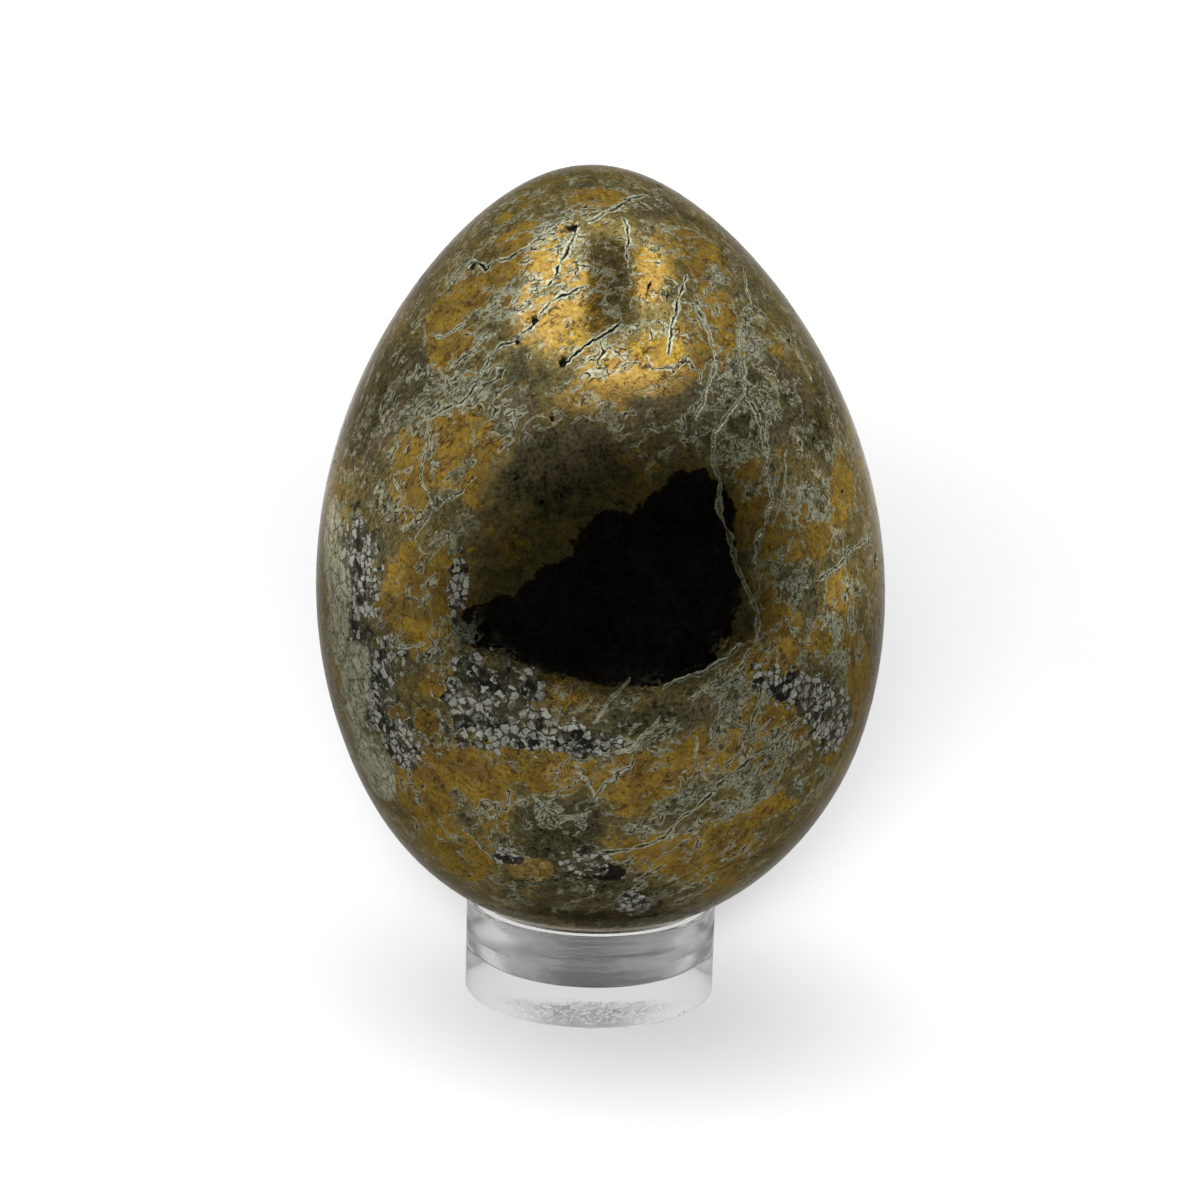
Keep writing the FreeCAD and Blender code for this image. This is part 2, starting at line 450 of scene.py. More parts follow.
def wandering_seam(surface, corners, core, edging):
    wander_size, wander, ripple = 1.3 * MM, 0.24 * MM, 0.4
    points = []
    for start, end in zip(corners, corners[1:]):
        steps = max(2, int((end - start).length / SEAM_STEP))
        for i in range(steps):
            point = start.lerp(end, i / steps)
            shift = noise.noise_vector(point / wander_size)
            shift += ripple * noise.noise_vector(point / (wander_size / 4))
            points.append(surface.nearest(point + shift * wander))
    points.append(corners[-1])
    return Seam(points, core, edging)


def random_direction(random_draw, least_back, most_up):
    """A direction towards the back, which is +Y."""
    return Vector((random_draw.uniform(-1, 1), random_draw.uniform(least_back, 1),
                   random_draw.uniform(-most_up, most_up)))


def back_seams(surface, form, random_draw, pixel_size):
    """Seams of the side that the photograph doesn't show: wandering runs over the back."""
    seams = []
    count, widest_bend = 26, 0.55
    for _ in range(count):
        direction = random_direction(random_draw, 0.15, 0.9)
        direction.normalize()
        heading = direction.orthogonal()
        heading.rotate(Matrix.Rotation(random_draw.uniform(0, math.tau), 3, direction))
        corners = []
        for _ in range(random_draw.randint(3, 9)):
            corners.append(Vector(form.place(np.array([direction]))[0][0]))
            heading = (heading - direction * heading.dot(direction)).normalized()
            bend = random_draw.uniform(-widest_bend, widest_bend)
            heading.rotate(Matrix.Rotation(bend, 3, direction))
            direction = (direction + heading * random_draw.uniform(0.04, 0.09)).normalized()
        core = random_draw.choice((0.0, 1.0, 1.2, 1.6, 2.2))
        edging = random_draw.choice((3.0, 4.5, 5.0) if core < 1.5 else (0.0, 4.5))
        half_pixel = pixel_size / 2
        seams.append(wandering_seam(surface, corners, core * half_pixel, edging * half_pixel))
    return seams


class Patch:
    """An oval on the egg, given by its centre and its two half-axes."""

    def __init__(self, centre, first, second):
        self.centre = np.array(centre)
        axes = np.array([first, second])
        self.solve = np.linalg.pinv(axes.T)
        normal = np.cross(axes[0], axes[1])
        self.normal = normal / np.linalg.norm(normal)
        self.reach = max(np.linalg.norm(axes[0]), np.linalg.norm(axes[1]))

    def cover(self, points):
        """1 in the oval's middle, 0.5 on its edge, 0 well outside."""
        away = points - self.centre
        flat = away @ self.solve.T
        deep = away @ self.normal / self.reach
        far = np.sqrt((flat ** 2).sum(axis=1) + deep ** 2)
        return 1 - smooth_step(0.55, 1.45, far)


def patch_from_pixels(surface, x, y, half_x, half_y, tilt):
    turn = math.radians(tilt)
    along = Vector((math.cos(turn), -math.sin(turn)))
    centre = surface.at_pixel(x, y)
    axes = []
    for size, way in ((half_x, along), (half_y, Vector((-along.y, along.x)))):
        step = size / 2
        end = surface.at_pixel(x + way.x * step, y + way.y * step)
        axes.append(np.array(end - centre) * 2)
    return Patch(centre, *axes)


def back_patches(form, random_draw, count, smallest, largest):
    patches = []
    for _ in range(count):
        direction = random_direction(random_draw, 0.1, 1)
        points, normals = form.place(np.array([direction.normalized()]))
        normal = Vector(normals[0])
        first = normal.orthogonal().normalized()
        first.rotate(Matrix.Rotation(random_draw.uniform(0, math.tau), 3, normal))
        second = normal.cross(first)
        sizes = [random_draw.uniform(smallest, largest) for _ in range(2)]
        patches.append(Patch(points[0], np.array(first * sizes[0]), np.array(second * sizes[1])))
    return patches


def cover_of(patches, points):
    total = np.zeros(len(points))
    for patch in patches:
        total = np.maximum(total, patch.cover(points))
    return total


def points_tree(groups):
    """A search tree over many runs of points, and for each point its half-width."""
    places = [(p, width) for points, widths in groups for p, width in zip(points, widths)]
    tree = KDTree(len(places))
    for i, (p, _) in enumerate(places):
        tree.insert(p, i)
    tree.balance()
    return tree, np.array([width for _, width in places])


def gap_shares(tree, widths, points, reach):
    """Distance of each point from the nearest run, in half-widths of that run."""
    far_off = 20.0
    shares = np.full(len(points), far_off)
    for i, point in enumerate(points):
        _, index, gap = tree.find(point)
        if gap < reach:
            shares[i] = gap / widths[index]
    return shares


def split_near(bm, form, tree, reach):
    """Splits the edges near the seams and pits, and puts the new corners on the unit sphere."""
    points, _ = form.place(unit_array(bm))
    near = np.array([tree.find(point)[2] < reach for point in points])
    bm.verts.index_update()
    edges = [e for e in bm.edges if near[e.verts[0].index] or near[e.verts[1].index]]
    bmesh.ops.subdivide_edges(bm, edges=edges, cuts=1, use_grid_fill=False)
    bmesh.ops.triangulate(bm, faces=[f for f in bm.faces if len(f.verts) > 3])
    for vert in bm.verts:
        vert.co.normalize()


def pit_places(form, egg):
    """Centre and radius of each pit."""
    turns = np.array([[math.tau * t, math.acos(1 - 2 * h)] for t, h, _ in PIT_PLACE_SHARES])
    units = np.column_stack([
        np.cos(turns[:, 0]) * np.sin(turns[:, 1]),
        np.sin(turns[:, 0]) * np.sin(turns[:, 1]),
        -np.cos(turns[:, 1]),
    ])
    points, _ = form.place(units)
    return [(Vector(point), egg.pit_width / 2 * size)
            for point, (_, _, size) in zip(points, PIT_PLACE_SHARES)]


def pit_shares(points, pits, egg):
    """For each point, how far inside a pit it is, from 0 to 1, and the depth there."""
    edge_size, edge_vary = 0.4 * MM, 0.8
    shade, depth = np.zeros(len(points)), np.zeros(len(points))
    for centre, radius in pits:
        far = np.linalg.norm(points - np.array(centre), axis=1)
        for i in np.nonzero(far < 2 * radius)[0]:
            ragged = 1 + edge_vary * noise.noise(Vector(points[i]) / edge_size)
            inside = 1 - smooth_step(0.55, 1.05, far[i] / radius / ragged)
            shade[i] = max(shade[i], inside)
            depth[i] = max(depth[i], inside * egg.pit_depth * radius / (egg.pit_width / 2))
    return shade, depth


def put_attribute(mesh, name, values):
    attribute = mesh.attributes.new(name, "FLOAT", "POINT")
    attribute.data.foreach_set("value", values.astype(np.float32))


def build_egg(egg, stand, studio):
    form = EggForm(egg, stand)
    view = PhotoView(studio)
    surface = EggSurface(form, view)
    pixel_size = studio.camera_distance / studio.focal_pixels
    random_draw = random.Random(egg.seed)
    noise.seed_set(egg.seed)
    seams = [seam_from_pixels(surface, *seam, pixel_size) for seam in SEAMS]
    seams += back_seams(surface, form, random_draw, pixel_size)
    pits = pit_places(form, egg)
    cores, core_widths = points_tree([(s.points, s.widths(s.core)) for s in seams if s.core])
    edged = [s for s in seams if s.edging]
    edgings, edging_widths = points_tree([(s.points, s.widths(s.edging)) for s in edged])
    lines, _ = points_tree([(s.points, s.widths(1)) for s in seams] + [([p], [r]) for p, r in pits])

    bm = bmesh.new()
    bmesh.ops.create_icosphere(bm, subdivisions=6, radius=1)
    split_reaches = (0.90 * MM, 0.50 * MM, 0.28 * MM, 0.12 * MM)
    for reach in split_reaches:
        split_near(bm, form, lines, reach)
    points, normals = form.place(unit_array(bm))

    core_reach, edging_reach = 0.9 * MM, 1.2 * MM
    core_gap = gap_shares(cores, core_widths, points, core_reach)
    edging_gap = gap_shares(edgings, edging_widths, points, edging_reach)
    pit_shade, pit_depth = pit_shares(points, pits, egg)
    depth = np.maximum(egg.seam_depth * (1 - smooth_step(0.2, 1.5, core_gap)), pit_depth)
    moved = points - normals * depth[:, None]
    for vert, point in zip(bm.verts, moved):
        vert.co = point
    bmesh.ops.recalc_face_normals(bm, faces=bm.faces)
    for face in bm.faces:
        face.smooth = True
    mesh = bpy.data.meshes.new("polished_egg")
    bm.to_mesh(mesh)
    bm.free()

    for name, pixels, count, smallest, largest in PATCH_KINDS:
        patches = [patch_from_pixels(surface, *patch) for patch in pixels]
        patches += back_patches(form, random_draw, count, smallest * MM, largest * MM)
        put_attribute(mesh, name + "_cover", cover_of(patches, points))
    put_attribute(mesh, "core_gap", core_gap)
    put_attribute(mesh, "edging_gap", edging_gap)
    put_attribute(mesh, "pit_shade", pit_shade)
    return mesh


class Value:
    """A node's output that can be used in a sum, and adds the Math nodes that the sum needs."""

    def __init__(self, tree, socket):
        self.tree, self.socket = tree, socket

    def _math(self, operation, *others):
        return self.tree.node("ShaderNodeMath", {"operation": operation}, dict(enumerate(others)))

    def __add__(self, other):
        return self._math("ADD", self, other)

    def __sub__(self, other):
        return self._math("SUBTRACT", self, other)

    def __mul__(self, other):
        return self._math("MULTIPLY", self, other)

    def __truediv__(self, other):
        return self._math("DIVIDE", self, other)

    def __radd__(self, other):
        return self._math("ADD", other, self)

    def __rsub__(self, other):
        return self._math("SUBTRACT", other, self)

    def __rmul__(self, other):
        return self._math("MULTIPLY", other, self)

    def __abs__(self):
        return self._math("ABSOLUTE", self)

    def larger(self, other):
        return self._math("MAXIMUM", self, other)

    def sway(self, strength):
        """A noise as a change to either side, because its middle is a half."""
        return (self - 0.5) * strength

    def step(self, low, high):
        """0 below low, 1 above high, smooth between."""
        settings = {"interpolation_type": "SMOOTHSTEP"}
        inputs = {"Value": self, "From Min": low, "From Max": high}
        return self.tree.node("ShaderNodeMapRange", settings, inputs)

    def band(self, middle, inner, outer):
        """1 within inner of the middle, 0 past outer from it, smooth between."""
        return 1 - abs(self - middle).step(inner, outer)


class Tree:
    """A material's or world's node tree, and the one way that nodes are added to it."""

    def __init__(self, holder):
        holder.use_nodes = True
        self.nodes, self.links = holder.node_tree.nodes, holder.node_tree.links
        self.nodes.clear()

    def node(self, kind, settings=None, inputs=None, output=0):
        made = self.nodes.new(kind)
        for name, value in (settings or {}).items():
            setattr(made, name, value)
        for name, value in (inputs or {}).items():
            if isinstance(value, Value):
                self.links.new(value.socket, made.inputs[name])
            else:
                made.inputs[name].default_value = value
        return Value(self, made.outputs[output])

    def attribute(self, name):
        return self.node("ShaderNodeAttribute", {"attribute_name": name}, output="Fac")

    def blend(self, factor, first, second):
        """The first colour where factor is 0, the second where it is 1."""
        values = {0: factor, 6: first, 7: second}
        return self.node("ShaderNodeMix", {"data_type": "RGBA"}, values, output=2)

    def shade(self, base, factor):
        """The colour made lighter or darker by a factor."""
        if not isinstance(base, Value):
            base = base[:3]
        return self.node("ShaderNodeVectorMath", {"operation": "SCALE"}, {0: base, "Scale": factor})

    def shift(self, place, offset):
        return self.node("ShaderNodeVectorMath", {"operation": "ADD"}, {0: place, 1: offset})

    def stirred(self, place, size, strength):
        """The place pushed about by a noise, so that a pattern on it swirls."""
        push = self.noise(place, size, 3, 0.6, output="Color")
        return self.node("ShaderNodeVectorMath", {"operation": "MULTIPLY_ADD"},
                         {0: push, 1: (strength,) * 3, 2: place})

    def stretched(self, place, scale, tilt=0.0):
        """The place drawn out by scale along its axes, which are tilted about Y by degrees."""
        return self.node("ShaderNodeMapping", {"vector_type": "TEXTURE"},
                         {"Vector": place, "Rotation": (0, math.radians(tilt), 0), "Scale": scale})

    def object_place(self):
        return self.node("ShaderNodeTexCoord", output="Object")

    def axes(self, place):
        return [self.node("ShaderNodeSeparateXYZ", {}, {"Vector": place}, output=axis)
                for axis in "XYZ"]

    def distance(self, place):
        return self.node("ShaderNodeVectorMath", {"operation": "LENGTH"}, {0: place},
                         output="Value")

    def ray_is(self, kind):
        return self.node("ShaderNodeLightPath", output=f"Is {kind} Ray")

    def bump(self, strength, depth, height):
        return self.node("ShaderNodeBump", {},
                         {"Strength": strength, "Distance": depth, "Height": height})

    def glow(self, glow_colour, strength=1.0):
        inputs = {"Color": rgba(glow_colour), "Strength": strength}
        return self.node("ShaderNodeEmission", {}, inputs)

    def noise(self, place, size, detail=2.0, roughness=0.5, distortion=0.0, output="Fac"):
        inputs = {"Vector": place, "Scale": 1 / size, "Detail": detail, "Roughness": roughness,
                  "Distortion": distortion}
        return self.node("ShaderNodeTexNoise", {"noise_dimensions": "3D"}, inputs, output=output)

    def cells(self, place, size, feature="F1", output="Distance"):
        inputs = {"Vector": place, "Scale": 1 / size}
        return self.node("ShaderNodeTexVoronoi", {"feature": feature}, inputs, output=output)

    def surface(self, shader):
        out = self.nodes.new("ShaderNodeOutputMaterial")
        self.links.new(shader.socket, out.inputs["Surface"])


def rgba(value):
    return (*value, 1.0)


VEIN_TILT = -42  # degrees; the veins run up to the right, seen from the front


class StonePattern:
    """The egg's minerals: masks from 0 to 1, and the colours that go with them."""

    def __init__(self, tree, egg):
        t = self.t = tree
        self.egg = egg
        self.place = t.object_place()
        self.warp = t.stirred(self.place, 4.0 * MM, 2.6 * MM)
        self.vein_place = t.stretched(self.warp, (2.6, 1.0, 1.0), VEIN_TILT)
        # Noises from coarse to fine, each shifted so that none follows another
        self.coarse = t.noise(self.warp, egg.patch_size, 6, 0.62)
        self.blotch = t.noise(t.shift(self.warp, (0.7, 0.1, 0.9)), 4.5 * MM, 4, 0.6)
        self.mottle = t.noise(t.shift(self.place, (0.05, 0.4, 0.2)), 2.2 * MM, 4, 0.6)
        self.ragged = t.noise(t.shift(self.place, (0.31, 0.17, 0.05)), 1.6 * MM, 5, 0.65)
        self.speckle = t.noise(self.place, 0.8 * MM, 4, 0.7)
        fine = t.noise(t.shift(self.place, (0.6, 0.2, 0.8)), 0.34 * MM, 2, 0.6)
        self.grain = fine.sway(1.7) + self.speckle.sway(1.6) + self.mottle.sway(0.9)
        # How golden: patches of ore against the grey ground, with ragged edges
        self.richness = (t.attribute("gold_cover") * 0.42 - t.attribute("grey_cover") * 0.34
                         + self.coarse.sway(1.6) + self.ragged.sway(0.9) + 0.18)
        self.is_gold = self.richness.step(0.27, 0.36)
        self.net = t.attribute("net_cover")
        self.edging_gap = t.attribute("edging_gap")
        self.calm = t.attribute("calm_cover").step(0.25, 0.75)
        self.lively = 1 - self.calm

    def ore(self):
        """Colour of the ore and of the ground between its patches."""
        t, egg, grain, blotch = self.t, self.egg, self.grain, self.blotch
        ground = t.blend(blotch.step(0.46, 0.62), rgba(egg.olive), rgba(egg.tarnish))
        # Grey patches darken the ground; along the bottom above the stand this is painted shade
        ground_shade = 0.92 - t.attribute("grey_cover") * 0.30 + grain * 1.1 + blotch.sway(0.8)
        ground = t.shade(ground, ground_shade)
        brass = t.blend(blotch.step(0.5, 0.7), rgba(egg.brass), rgba(egg.olive))
        brass = t.shade(brass, 0.92 + grain)
        rusty = (self.mottle + grain * 0.2).step(0.42, 0.58)
        gold = t.blend(rusty, rgba(egg.gold), rgba(egg.rust))
        gold = t.blend(self.speckle.step(0.50, 0.64), gold, rgba(egg.brass))
        gold = t.shade(gold, 0.92 + grain * 1.1 + blotch.sway(1.0))
        body = t.blend(self.richness.step(-0.04, 0.20), ground, brass)
        body = t.blend(self.is_gold, body, gold)
        warm = (t.attribute("warm_cover") + self.ragged.sway(0.9)).step(0.35, 0.75)
        return t.blend(warm * 0.6, body, t.shade(rgba(egg.bronze), 0.95 + grain))

    def black_lump_and_reflection(self):
        """Mask and colour of the black ore, which in the middle of the front is painted dark
        reflection.
        """
        ragged_edge = self.ragged.sway(0.9) + self.speckle.sway(0.5)
        lump = (self.t.attribute("black_cover") + ragged_edge).step(0.42, 0.50)
        shade = 1.0 + self.grain * 1.6 + self.blotch.sway(2.5)
        return lump, self.t.shade(rgba(self.egg.black_ore_and_reflection), shade)

    def islands(self):
        """Ragged islands of grey-green rock, many in zones and few elsewhere: their inside, their
        pale outline and their dark middle."""
        t, net, speckle = self.t, self.net, self.speckle
        drawn = t.stretched(t.shift(self.warp, (0.2, 0.6, 0.1)), (1.7, 1.0, 1.0), VEIN_TILT)
        along_seams = 1 - self.edging_gap.step(1.0, 3.2)
        zone = (net * 0.125 + along_seams * 0.060 - self.is_gold * 0.030
                - self.calm * 0.2 - 0.040)
        isle = (t.noise(drawn, self.egg.net_size, 4, 0.60, 0.15) + zone
                + self.blotch.sway(0.16))
        inside = isle.step(0.585, 0.605)
        rim = isle.band(0.582, 0.014, 0.030).larger(isle.band(0.650, 0.008, 0.020))
        rim = rim * (speckle + 0.25).step(0.62, 0.70) * (0.50 + net * 0.5)
        middle = isle.band(0.620, 0.003, 0.011) * speckle.step(0.46, 0.54)
        return inside, rim, middle

    def gold_rim(self):
        """Pale outline of the golden patches."""
        rim = self.richness.band(0.255, 0.024, 0.046) * self.lively
        return rim * (self.mottle + self.net * 0.25).step(0.46, 0.54) * (0.80 + self.net * 0.20)

    def strands(self):
        """Long wandering veins, and the open dark core that some of them have."""
        t = self.t
        wander = abs(t.noise(t.shift(self.vein_place, (0.3, 0.3, 0.2)), 4.2 * MM, 3, 0.55) - 0.5)
        present = (self.blotch * 0.5 + self.ragged * 0.5).step(0.47, 0.53) * self.lively
        strand = wander.band(0.016, 0.006, 0.014) * present
        core = (1 - wander.step(0.003, 0.010)) * present * self.speckle.step(0.43, 0.50)
        return strand, core

    def seams(self):
        """The seams' grey-green fill, their pale lips and their open dark core."""
        wobble = self.speckle.sway(1.5) + self.ragged.sway(1.3)
        gap = self.edging_gap + wobble
        fill = 1 - gap.step(0.95, 1.20)
        lips = fill * gap.step(0.22, 0.48) * (self.mottle + 0.3).step(0.46, 0.58)
        closed = self.blotch.step(0.50, 0.62) * 0.8
        core = 1 - (self.t.attribute("core_gap") + wobble * 0.9 + closed).step(0.9, 1.4)
        return fill, lips, core

    def hairs(self):
        """Fine dark cracks."""
        t = self.t
        hair = abs(t.noise(t.shift(self.vein_place, (0.8, 0.5, 0.6)), 1.9 * MM, 3, 0.65) - 0.5)
        return (1 - hair.step(0.005, 0.019)) * self.mottle.step(0.42, 0.53) * self.lively

    def dashes(self):
        """Short dark marks."""
        spots = self.t.cells(self.t.shift(self.vein_place, (0.4, 0.8, 0.3)), 0.55 * MM)
        return (1 - spots.step(0.12, 0.24)) * self.ragged.step(0.48, 0.56) * self.lively

    def pale_sheen(self):
        """Pale patches painted along the egg's left outline as a reflection, and the cracks in
        them.
        """
        t = self.t
        pale_sheen = (t.attribute("pale_sheen_cover") + self.ragged.sway(0.8)).step(0.38, 0.62)
        plates = t.cells(self.warp, 2.2 * MM, "DISTANCE_TO_EDGE")
        cracks = 1 - (plates + self.speckle.sway(0.25)).step(0.02, 0.09)
        return pale_sheen, cracks

    def crystals(self, pale_sheen):
        """Quartz in a dark ground: where it is, where a crystal shines there, and its colour."""
        t, egg, speckle = self.t, self.egg, self.speckle
        grains = t.stirred(t.shift(self.place, (0.9, 0.3, 0.4)), 0.45 * MM, 0.75 * MM)
        to_edge = t.cells(grains, egg.crystal_size, "DISTANCE_TO_EDGE")
        draws = t.cells(grains, egg.crystal_size, output="Color")
        tone = t.node("ShaderNodeSeparateColor", {}, {"Color": draws})
        luck = t.node("ShaderNodeSeparateColor", {}, {"Color": draws}, output="Green")
        cover = t.attribute("crystal_cover")
        spread = cover + (self.ragged.sway(1.5) + luck.sway(0.7)) * cover.step(0.0, 0.3)
        zone = spread.step(0.36, 0.48) * (1 - pale_sheen)
        shine = (to_edge + speckle.sway(0.5)).step(0.03, 0.17)
        shine = shine * (tone + speckle.sway(1.4) + 0.10).step(0.20, 0.60)
        ground = t.shade(rgba(egg.olive), 0.55)
        ground = t.blend(self.mottle.step(0.44, 0.56), rgba(egg.dark), ground)
        bright = t.shade(rgba(egg.crystal), 0.42 + tone * 0.55 + self.grain * 0.5)
        return zone, shine, t.blend(shine, ground, bright)


def stone_material(egg):
    """The polished stone: each mineral is laid over those before it."""
    material = bpy.data.materials.new("polished_ore")
    t = Tree(material)
    stone = StonePattern(t, egg)
    grain = stone.grain
    lump, lump_colour = stone.black_lump_and_reflection()
    isle, isle_rim, isle_middle = stone.islands()
    strand, strand_core = stone.strands()
    seam, lips, seam_core = stone.seams()
    pale_sheen, cracks = stone.pale_sheen()
    crystal_zone, shine, crystal_colour = stone.crystals(pale_sheen)

    body = t.blend(lump, stone.ore(), lump_colour)
    # Painted reflection: pale along the egg's left outline
    body = t.blend(pale_sheen * 0.8, body, t.shade(rgba(egg.vein), 1.2 + grain * 1.4))
    filling = t.blend(seam * 0.30, rgba(egg.olive), rgba(egg.vein))
    body = t.blend(isle.larger(seam) * 0.8, body, t.shade(filling, 0.95 + grain * 1.2))
    pale = isle_rim.larger(stone.gold_rim()).larger(lips).larger(strand)
    body = t.blend(pale * 0.88, body, t.shade(rgba(egg.vein), 0.88 + lips * 0.18 + grain * 0.9))
    body = t.blend(crystal_zone, body, crystal_colour)

    black = seam_core.larger(t.attribute("pit_shade").step(0.25, 0.6))
    for mask, strength in ((strand_core, 0.9), (stone.dashes(), 0.75), (isle_middle, 0.7),
                           (stone.hairs(), 0.7), (cracks * pale_sheen, 0.6)):
        black = black.larger(mask * strength)
    body = t.blend(black, body, rgba(egg.dark))

    metal = (0.995 - pale * 0.01) * (1 - crystal_zone * 0.18) * (1 - black * 0.2)
    rough = (egg.polish + (1 - stone.is_gold) * 0.04 + pale * 0.06 + crystal_zone * 0.08
             + black * 0.35)
    height = (stone.speckle * 0.25 + stone.is_gold * 0.3 - pale * 0.15
              + shine * crystal_zone * 0.8 - black * 1.2)
    t.surface(t.node("ShaderNodeBsdfPrincipled", {}, {
        "Base Color": body, "Metallic": metal, "Roughness": rough,
        "Normal": t.bump(0.22, 0.05 * MM, height), "Specular Tint": rgba(egg.edge),
    }))
    return material


def arc(middle, radius, start, end):
    """Points along an arc in the stand's section; the angles are from outward towards up."""
    steps = 5
    angles = [start + (end - start) * i / steps for i in range(steps + 1)]
    return [(middle[0] + radius * math.cos(a), middle[1] + radius * math.sin(a)) for a in angles]


def stand_outline(stand):
    """Right half of the stand's section, from the middle of its foot round to its recess."""
    outer, top, edge = STAND_HIGH.x, STAND_HIGH.z, stand.edge_round
    mouth = outer - stand.rim_width
    square = math.pi / 2
    slope = math.atan2(stand.wall_inset, top - stand.floor_thickness)
    reach = stand.mouth_round * math.tan((square - slope) / 2)
    return [
        (0, 0),
        *arc((outer - edge, edge), edge, -square, 0),
        *arc((outer - edge, top - edge), edge, 0, square),
        *arc((mouth + reach, top - stand.mouth_round), stand.mouth_round,
             square, 2 * square - slope),
        (mouth - stand.wall_inset, stand.floor_thickness),
        (0, stand.floor_thickness),
    ]


def build_stand(stand):
    bm = bmesh.new()
    outline = [bm.verts.new((radius, 0, height)) for radius, height in stand_outline(stand)]
    edges = [bm.edges.new(pair) for pair in zip(outline, outline[1:])]
    spin_steps = 192
    bmesh.ops.spin(bm, geom=outline + edges, cent=(0, 0, 0), axis=(0, 0, 1), angle=math.tau,
                   steps=spin_steps, use_merge=True)
    bmesh.ops.remove_doubles(bm, verts=bm.verts, dist=0.001 * MM)
    bmesh.ops.recalc_face_normals(bm, faces=bm.faces)
    sharp = math.radians(25)
    for face in bm.faces:
        face.smooth = True
    for edge in bm.edges:
        edge.smooth = edge.calc_face_angle(0) < sharp
    mesh = bpy.data.meshes.new("clear_puck")
    bm.to_mesh(mesh)
    bm.free()
    return mesh


def acrylic_material(stand):
    """Clear plastic, with a turned hazy recess that has painted shade in front, a painted glint
    glowing on the ring where the egg touches, specks, and a patch under the foot that clings to the
    table."""
    material = bpy.data.materials.new("clear_acrylic")
    t = Tree(material)
    place = t.object_place()
    across, deep, height = t.axes(place)
    from_axis = t.distance(t.node("ShaderNodeCombineXYZ", {}, {"X": across, "Y": deep}))
    uneven = t.noise(place, 2.5 * MM, 3, 0.6)
    wall = STAND_HIGH.x - 0.05 * MM
    mouth = STAND_HIGH.x - stand.rim_width
    floor, top = stand.floor_thickness, STAND_HIGH.z

    # The patch under the foot, with its crinkled lines
    underside = 1 - height.step(0.02 * MM, 0.12 * MM)
    contact = underside * (0 - deep + uneven.sway(8 * MM)).step(-1.0 * MM, 3.5 * MM)
    contact = contact * (1 - (abs(across) + uneven.sway(4 * MM)).step(1.5 * MM, 8.5 * MM))
    ripple = t.noise(place, 1.1 * MM, 3, 0.6, 1.2)
    folds = t.noise(t.stretched(place, (1, 2.2, 1)), 0.55 * MM, 2, 0.6, 0.6)
    line = folds.band(0.5, 0.02, 0.08) * (deep + 13 * MM).step(0.0, 5 * MM)
    specks = 1 - t.cells(place, 1.9 * MM).step(0.06, 0.12)
    specks = specks * (uneven + across * 18).step(0.60, 0.70)

    # The recess: turning marks, painted shade in front, and a painted shade line round its floor
    recess = 1 - from_axis.step(wall - stand.rim_width, wall)
    recess = recess * height.step(floor - 0.10 * MM, floor - 0.05 * MM)
    turned = t.noise(t.stretched(place, (30, 30, 1)), 0.8 * MM, 4, 0.6)
    # Painted highlight: the flat ring round the mouth is pale and glows, as a glint
    ring = height.step(top - 0.2 * MM, top - 0.1 * MM)
    ring = ring * (1 - from_axis.step(mouth + 0.7 * MM, mouth + 0.9 * MM))
    # Painted shade: dark grey on the front of the recess, streaked by the turning marks, and a line
    # of it round the recess's floor
    in_front = 1 - abs(across - 0.8 * MM + uneven.sway(4 * MM)).step(2.5 * MM, 11.0 * MM)
    painted_shade_grey = recess * (1 - ring) * in_front * (0.34 + turned.step(0.42, 0.58) * 0.42)
    corner_gap = abs(from_axis - (mouth - stand.wall_inset)) + abs(height - floor)
    painted_shade_grey = painted_shade_grey.larger((1 - corner_gap.step(0.10 * MM, 0.22 * MM)) * 0.95)

    clear = t.node("ShaderNodeBsdfPrincipled", {}, {
        "Base Color": rgba(stand.tint), "Roughness": 0.02 + recess * 0.13, "IOR": stand.bend,
        "Transmission Weight": 1.0,
        "Normal": t.bump(0.5, 0.10 * MM, ripple * contact + turned * recess * 0.4),
    })
    film_colour = t.blend((1 - line) * (1 - ring), rgba(stand.crinkle), rgba(stand.film))
    film_colour = t.blend(painted_shade_grey.larger(specks).step(0.0, 0.01), film_colour, rgba(stand.painted_shade_grey))
    # The ring's painted glint glows this bright
    painted_glint_glow = 0.6
    film = t.node("ShaderNodeBsdfPrincipled", {}, {
        "Base Color": film_colour, "Roughness": 0.4, "Emission Strength": 1.0,
        "Emission Color": t.blend(ring, rgba((0, 0, 0)), rgba((painted_glint_glow,) * 3)),
    })
    cover = (contact * (0.74 - line * 0.5)).larger(specks * 0.6).larger(ring * 0.9).larger(painted_shade_grey)
    t.surface(t.node("ShaderNodeMixShader", {}, {0: cover, 1: clear, 2: film}))
    return material


def add_object(name, mesh, material):
    made = bpy.data.objects.new(name, mesh)
    mesh.materials.append(material)
    bpy.context.scene.collection.objects.link(made)
    return made


def flat_sheet(name, corners):
    """A flat face through the corners, given as points in metres."""
    bm = bmesh.new()
    bm.faces.new([bm.verts.new(corner) for corner in corners])
    mesh = bpy.data.meshes.new(name)
    bm.to_mesh(mesh)
    bm.free()
    return mesh


# How bright the table is under the painted shade round the foot, beside it, and where the stone and
# the plastic show it
TABLE_UNDER_PAINTED_SHADE = (0.52, 0.52, 0.52)
TABLE_BESIDE = (0.77, 0.77, 0.77)
TABLE_MIRRORED = (0.36, 0.36, 0.36)


